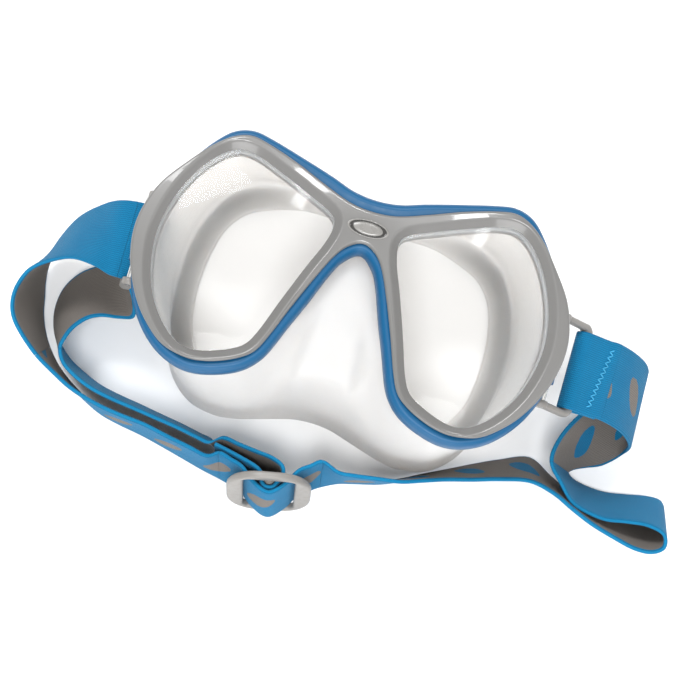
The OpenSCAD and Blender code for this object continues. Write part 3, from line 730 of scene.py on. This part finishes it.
OVER_BAR = BAR_R + 0.1 + 1.8 + 0.3 + 0.9
ROUND_BAR = BAR_R + 0.15 + 0.9
weave_rows = [slider_row(u, n) for u, n in [
    (20, -8.8), (15.5, -6.8), (11, -4.4), (6.2, 1.2), (0, OVER_BAR), (-6.2, 1.2), (-11, -4.4),
    (-15.5, -7), (-20, -9.2)]]
loop_rows = [slider_row(u, n) for u, n in [(-19, -15.5), (-13, -13.4), (-6, -11), (0, -9), (4.4, -6),
                                           (5, -2.2)]]
loop_rows += [slider_row(ROUND_BAR * math.cos(a), ROUND_BAR * math.sin(a))
              for a in np.radians(np.arange(20, 181, 32))]
loop_rows += [slider_row(u, n) for u, n in [(-3.5, -2.6), (-5.8, -4.9), (-10.5, -7.4), (-15.5, -9.8),
                                            (-22, -12.7)]]
WRAP_R = BAR_D / 2 + 0.1 + 0.9


def clip_bar(side):
    """The middle of a clip's bar."""
    origin, reach, _, _ = clip_frame(side)
    return origin + CLIP_REACH * reach


def bar_row(side, x, z, flip=1):
    """A cross-section level across a clip's bar, x and z from the bar's middle."""
    c = clip_bar(side) + np.array([x, 0, z])
    h = np.array([0, STRAP_W / 2 * flip, 0])
    return np.concatenate([c - h, c + h])


leg = math.radians(-25)
leg_dir, leg_up = np.array([math.cos(leg), math.sin(leg)]), np.array([-math.sin(leg), math.cos(leg)])
sewn_end = [(12.2, WRAP_R - 1.85), (9.6, WRAP_R - 1.85), (7.2, 0.7), (4.8, -1.3), (2.3, -2.8),
            (0, -WRAP_R), (-2.3, -2.3), (-WRAP_R, 0), (-2.3, 2.3), (0, WRAP_R), (4.5, WRAP_R),
            (9, WRAP_R)]
sewn_rows = [bar_row("right", *(u * leg_dir + n * leg_up)) for u, n in sewn_end]
left_wrap = [bar_row("left", WRAP_R * math.cos(a), WRAP_R * math.sin(a), -1)
             for a in np.radians([90, 60, 30, 0, -30, -52])]

run = [np.array(r) * 1000 for r in RIGHT_RUN]
outer = [np.array(r) * 1000 for r in OUTER_RUN]
inner = [np.array(r) * 1000 for r in INNER_RUN]
chain = sewn_rows + run + weave_rows + outer + left_wrap + inner + loop_rows
SUB = 6
at = {"right_end": 0, "curl": len(sewn_rows)}
at["loop"] = at["curl"] + 8
at["front"] = at["curl"] + 20
at["weave"] = at["curl"] + len(run)
at["outer"] = at["weave"] + len(weave_rows) - 1
at["outer_side"] = at["outer"] + 10
at["left_end"] = at["outer"] + len(outer)
at["inner_side"] = at["left_end"] + len(left_wrap) + 1
at["inner"] = at["inner_side"] + 8
at["end_loop"] = at["inner_side"] + len(inner)
last_row = len(chain) - 1
rows = open_curve(chain, SUB)
middle = (rows[:, :3] + rows[:, 3:]) / 2
cross_dir = unit(rows[:, 3:] - rows[:, :3])
tangent = unit(np.gradient(middle, axis=0))
out_dir = unit(np.cross(tangent, cross_dir))
along = np.concatenate([[0], np.cumsum(np.linalg.norm(np.diff(middle, axis=0), axis=1))])
ACROSS_N = 14
GAP = 0.06


def strap_section(k, blue_out):
    """Points round one cross-section, with how far each is across, and which face it is on."""
    w, t = STRAP_W / 2, STRAP_T / 2
    face_u = np.linspace(-w + 0.7, w - 0.7, ACROSS_N)
    profile = [(u, t, 1.0) for u in face_u]
    profile += [(w - 0.2, t * 0.7, 0.6), (w, 0, 0.0), (w - 0.2, -t * 0.7, -0.5)]
    profile += [(u, -t, -1.0) for u in face_u[::-1]]
    profile += [(-w + 0.2, -t * 0.7, -0.5), (-w, 0, 0.0), (-w + 0.2, t * 0.7, 0.6)]
    points = [middle[k] + u * cross_dir[k] + n * out_dir[k] for u, n, _ in profile]
    return points, [u for u, _, _ in profile], [s * (1 if blue_out else -1) for _, _, s in profile]


def strap(name, node, start, end, body, blue_out, marked):
    """One piece of webbing, from row to row of the chain, with a hair's gap at each end."""
    i0, i1 = start * SUB, end * SUB
    build = Build()
    rings, across, side, length = [], [], [], []
    for k in range(i0, i1 + 1):
        points, u, s = strap_section(k, blue_out)
        if k == i0:
            points = [p + GAP * tangent[k] for p in points]
        if k == i1:
            points = [p - GAP * tangent[k] for p in points]
        rings.append(points)
        across += u
        side += s
        length += [along[k]] * len(points)
    build.loft(rings, cap=True)
    edge = np.abs(np.array(across)) / (STRAP_W / 2)
    build.extra = {"along": length, "across": across, "side": side, "edge": edge,
                   "marked": np.full(len(length), float(marked))}
    obj = build.done(name, WEB, body, angle=70)
    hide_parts(node)
    return obj


strap("webbing_right_end", "strap_right_end", at["right_end"], at["curl"], "right_clip", True, 0)
curl = strap("webbing_right_curl", "strap_right_curl", at["curl"], at["loop"], None, True, 1)
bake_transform(curl)
strap("webbing_right_loop", "strap_right_loop", at["loop"], at["front"], "mask", False, 0)
front = strap("webbing_front_run", "strap_front_run", at["front"], at["weave"], None, False, 1)
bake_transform(front)
strap("webbing_slider_weave", "strap_slider_weave", at["weave"], at["outer"], "slider", False, 1)
outer_piece = strap("webbing_outer_run", "strap_outer_run", at["outer"], at["outer_side"], None, False, 1)
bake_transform(outer_piece)
outer_side = strap("webbing_outer_side", "strap_outer_side", at["outer_side"], at["left_end"], None, False, 0)
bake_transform(outer_side)
strap("webbing_left_end", "strap_left_end", at["left_end"], at["inner_side"], "left_clip", False, 0)
inner_side = strap("webbing_inner_side", "strap_inner_side", at["inner_side"], at["inner"], None, False, 0)
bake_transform(inner_side)
inner_piece = strap("webbing_inner_run", "strap_inner_run", at["inner"], at["end_loop"], None, False, 0)
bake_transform(inner_piece)
strap("webbing_end_loop", "strap_end_loop", at["end_loop"], last_row, "slider", False, 0)


# ---------------------------------------------------------------- stitches
def thread(name, node, paths, body, radius=0.3):
    """Lockstitches: each path is one lay of thread, thin where it dives into the webbing."""
    build = Build()
    for path in paths:
        path = np.array(path)
        t = unit(np.gradient(path, axis=0))
        up = unit(np.cross(t, np.roll(t, 1, axis=1) + 0.3))
        sideways = np.cross(t, up)
        size = radius * np.sin(np.linspace(0.35, math.pi - 0.35, len(path)))
        ring = np.linspace(0, 2 * math.pi, 8, endpoint=False)
        build.loft([[p + r * (math.cos(a) * u + math.sin(a) * s) for a in ring]
                    for p, u, s, r in zip(path, up, sideways, size)], cap=True)
    obj = build.done(name, THREAD, body, angle=80)
    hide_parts(node)
    return obj


bar = clip_bar("right")
leg_3d, up_3d = np.array([leg_dir[0], 0, leg_dir[1]]), np.array([leg_up[0], 0, leg_up[1]])
zig = []
STITCHES, ZIG_PITCH, ZIG_WIDE = 21, 1.16, 2.0
SEAM_U, SEAM_SLANT = 7.6, 0.17  # how far along the tab the seam is, and how much it leans
for i in range(STITCHES):
    v0 = (i - STITCHES / 2) * ZIG_PITCH
    near = SEAM_U + SEAM_SLANT * v0
    u0, u1 = (near, near + ZIG_WIDE) if i % 2 == 0 else (near + ZIG_WIDE, near)
    lay = []
    for s in np.linspace(0, 1, 7):
        rise = WRAP_R + STRAP_T / 2 + 0.05 + 0.22 * math.sin(math.pi * s)
        lay.append(bar + (u0 + (u1 - u0) * s) * leg_3d + np.array([0, v0 + ZIG_PITCH * s, 0]) + rise * up_3d)
    zig.append(lay)
thread("zigzag_seam", "right_end_seam", zig, "right_clip", 0.26)

rows_of_stitches = []
for i in range(-6, 7):
    c = SLIDER_MID - 18.4 * slide - 11.0 * face + i * 2.1 * lean
    rows_of_stitches.append([c + s * 1.5 * lean + (0.9 + 0.2 * math.cos(math.pi * s)) * face
                             for s in np.linspace(-0.5, 0.5, 7)])
thread("end_seam", "end_loop_seam", rows_of_stitches, "slider", 0.22)


# ---------------------------------------------------------------- studio
def plain(name, color, roughness):
    return shader(name, color, roughness)[0]


data = bpy.data.meshes.new("floor")
size = 3.0
corners = [(-size, -size, 0), (size, -size, 0), (size, size, 0), (-size, size, 0)]
data.from_pydata(corners, [], [(0, 1, 2, 3)])
floor = bpy.data.objects.new("floor", data)
bpy.context.collection.objects.link(floor)
data.materials.append(plain("pale_floor", (0.93, 0.93, 0.93), 0.9))

world = bpy.data.worlds.new("studio")
bpy.context.scene.world = world
world.use_nodes = True
world.node_tree.nodes["Background"].inputs[0].default_value = (1, 1, 1, 1)
world.node_tree.nodes["Background"].inputs[1].default_value = 0.68
bpy.context.scene.view_settings.view_transform = "Standard"


def soft_light(name, place, aim, size_x, size_y, power):
    """A rectangular area light at place, facing aim."""
    light = bpy.data.lights.new(name, "AREA")
    light.shape = "RECTANGLE"
    light.size, light.size_y, light.energy = size_x, size_y, power
    obj = bpy.data.objects.new(name, light)
    bpy.context.collection.objects.link(obj)
    obj.location = place
    obj.rotation_euler = (Vector(aim) - Vector(place)).to_track_quat("-Z", "Y").to_euler()
    return obj


soft_light("key", (-0.5, 0.65, 1.1), (0, 0, 0.03), 0.5, 0.4, 11)
soft_light("fill", (0.9, -0.2, 0.9), (0, 0, 0.03), 0.8, 0.8, 3)
soft_light("top", (0.0, -0.45, 1.5), (0, 0.01, 0.03), 0.5, 0.4, 13)
soft_light("strip", (0.012, 0.385, 0.64), (-0.035, 0.057, 0.07), 0.05, 0.08, 0.65)
soft_light("low_front", (0.05, -0.95, 0.42), (0, 0, 0.02), 0.9, 0.4, 6.5)

CAMERA_ELEVATION, CAMERA_ROLL = math.radians(82), math.radians(16.5)
CAMERA_DISTANCE = 0.6
target = Vector((-0.00904, 0.00037, 0.070))
back = Vector((0, -math.cos(CAMERA_ELEVATION), math.sin(CAMERA_ELEVATION)))
level = Vector((1, 0, 0))
upward = back.cross(level)
right = math.cos(CAMERA_ROLL) * level + math.sin(CAMERA_ROLL) * upward
up = -math.sin(CAMERA_ROLL) * level + math.cos(CAMERA_ROLL) * upward
place = target + CAMERA_DISTANCE * back
lens_data = bpy.data.cameras.new("camera")
lens_data.sensor_width = 36
lens_data.lens = 86.79
camera = bpy.data.objects.new("camera", lens_data)
bpy.context.collection.objects.link(camera)
camera.matrix_world = Matrix(((right.x, up.x, back.x, place.x), (right.y, up.y, back.y, place.y),
                              (right.z, up.z, back.z, place.z), (0, 0, 0, 1)))
bpy.context.scene.camera = camera

bpy.context.view_layer.update()
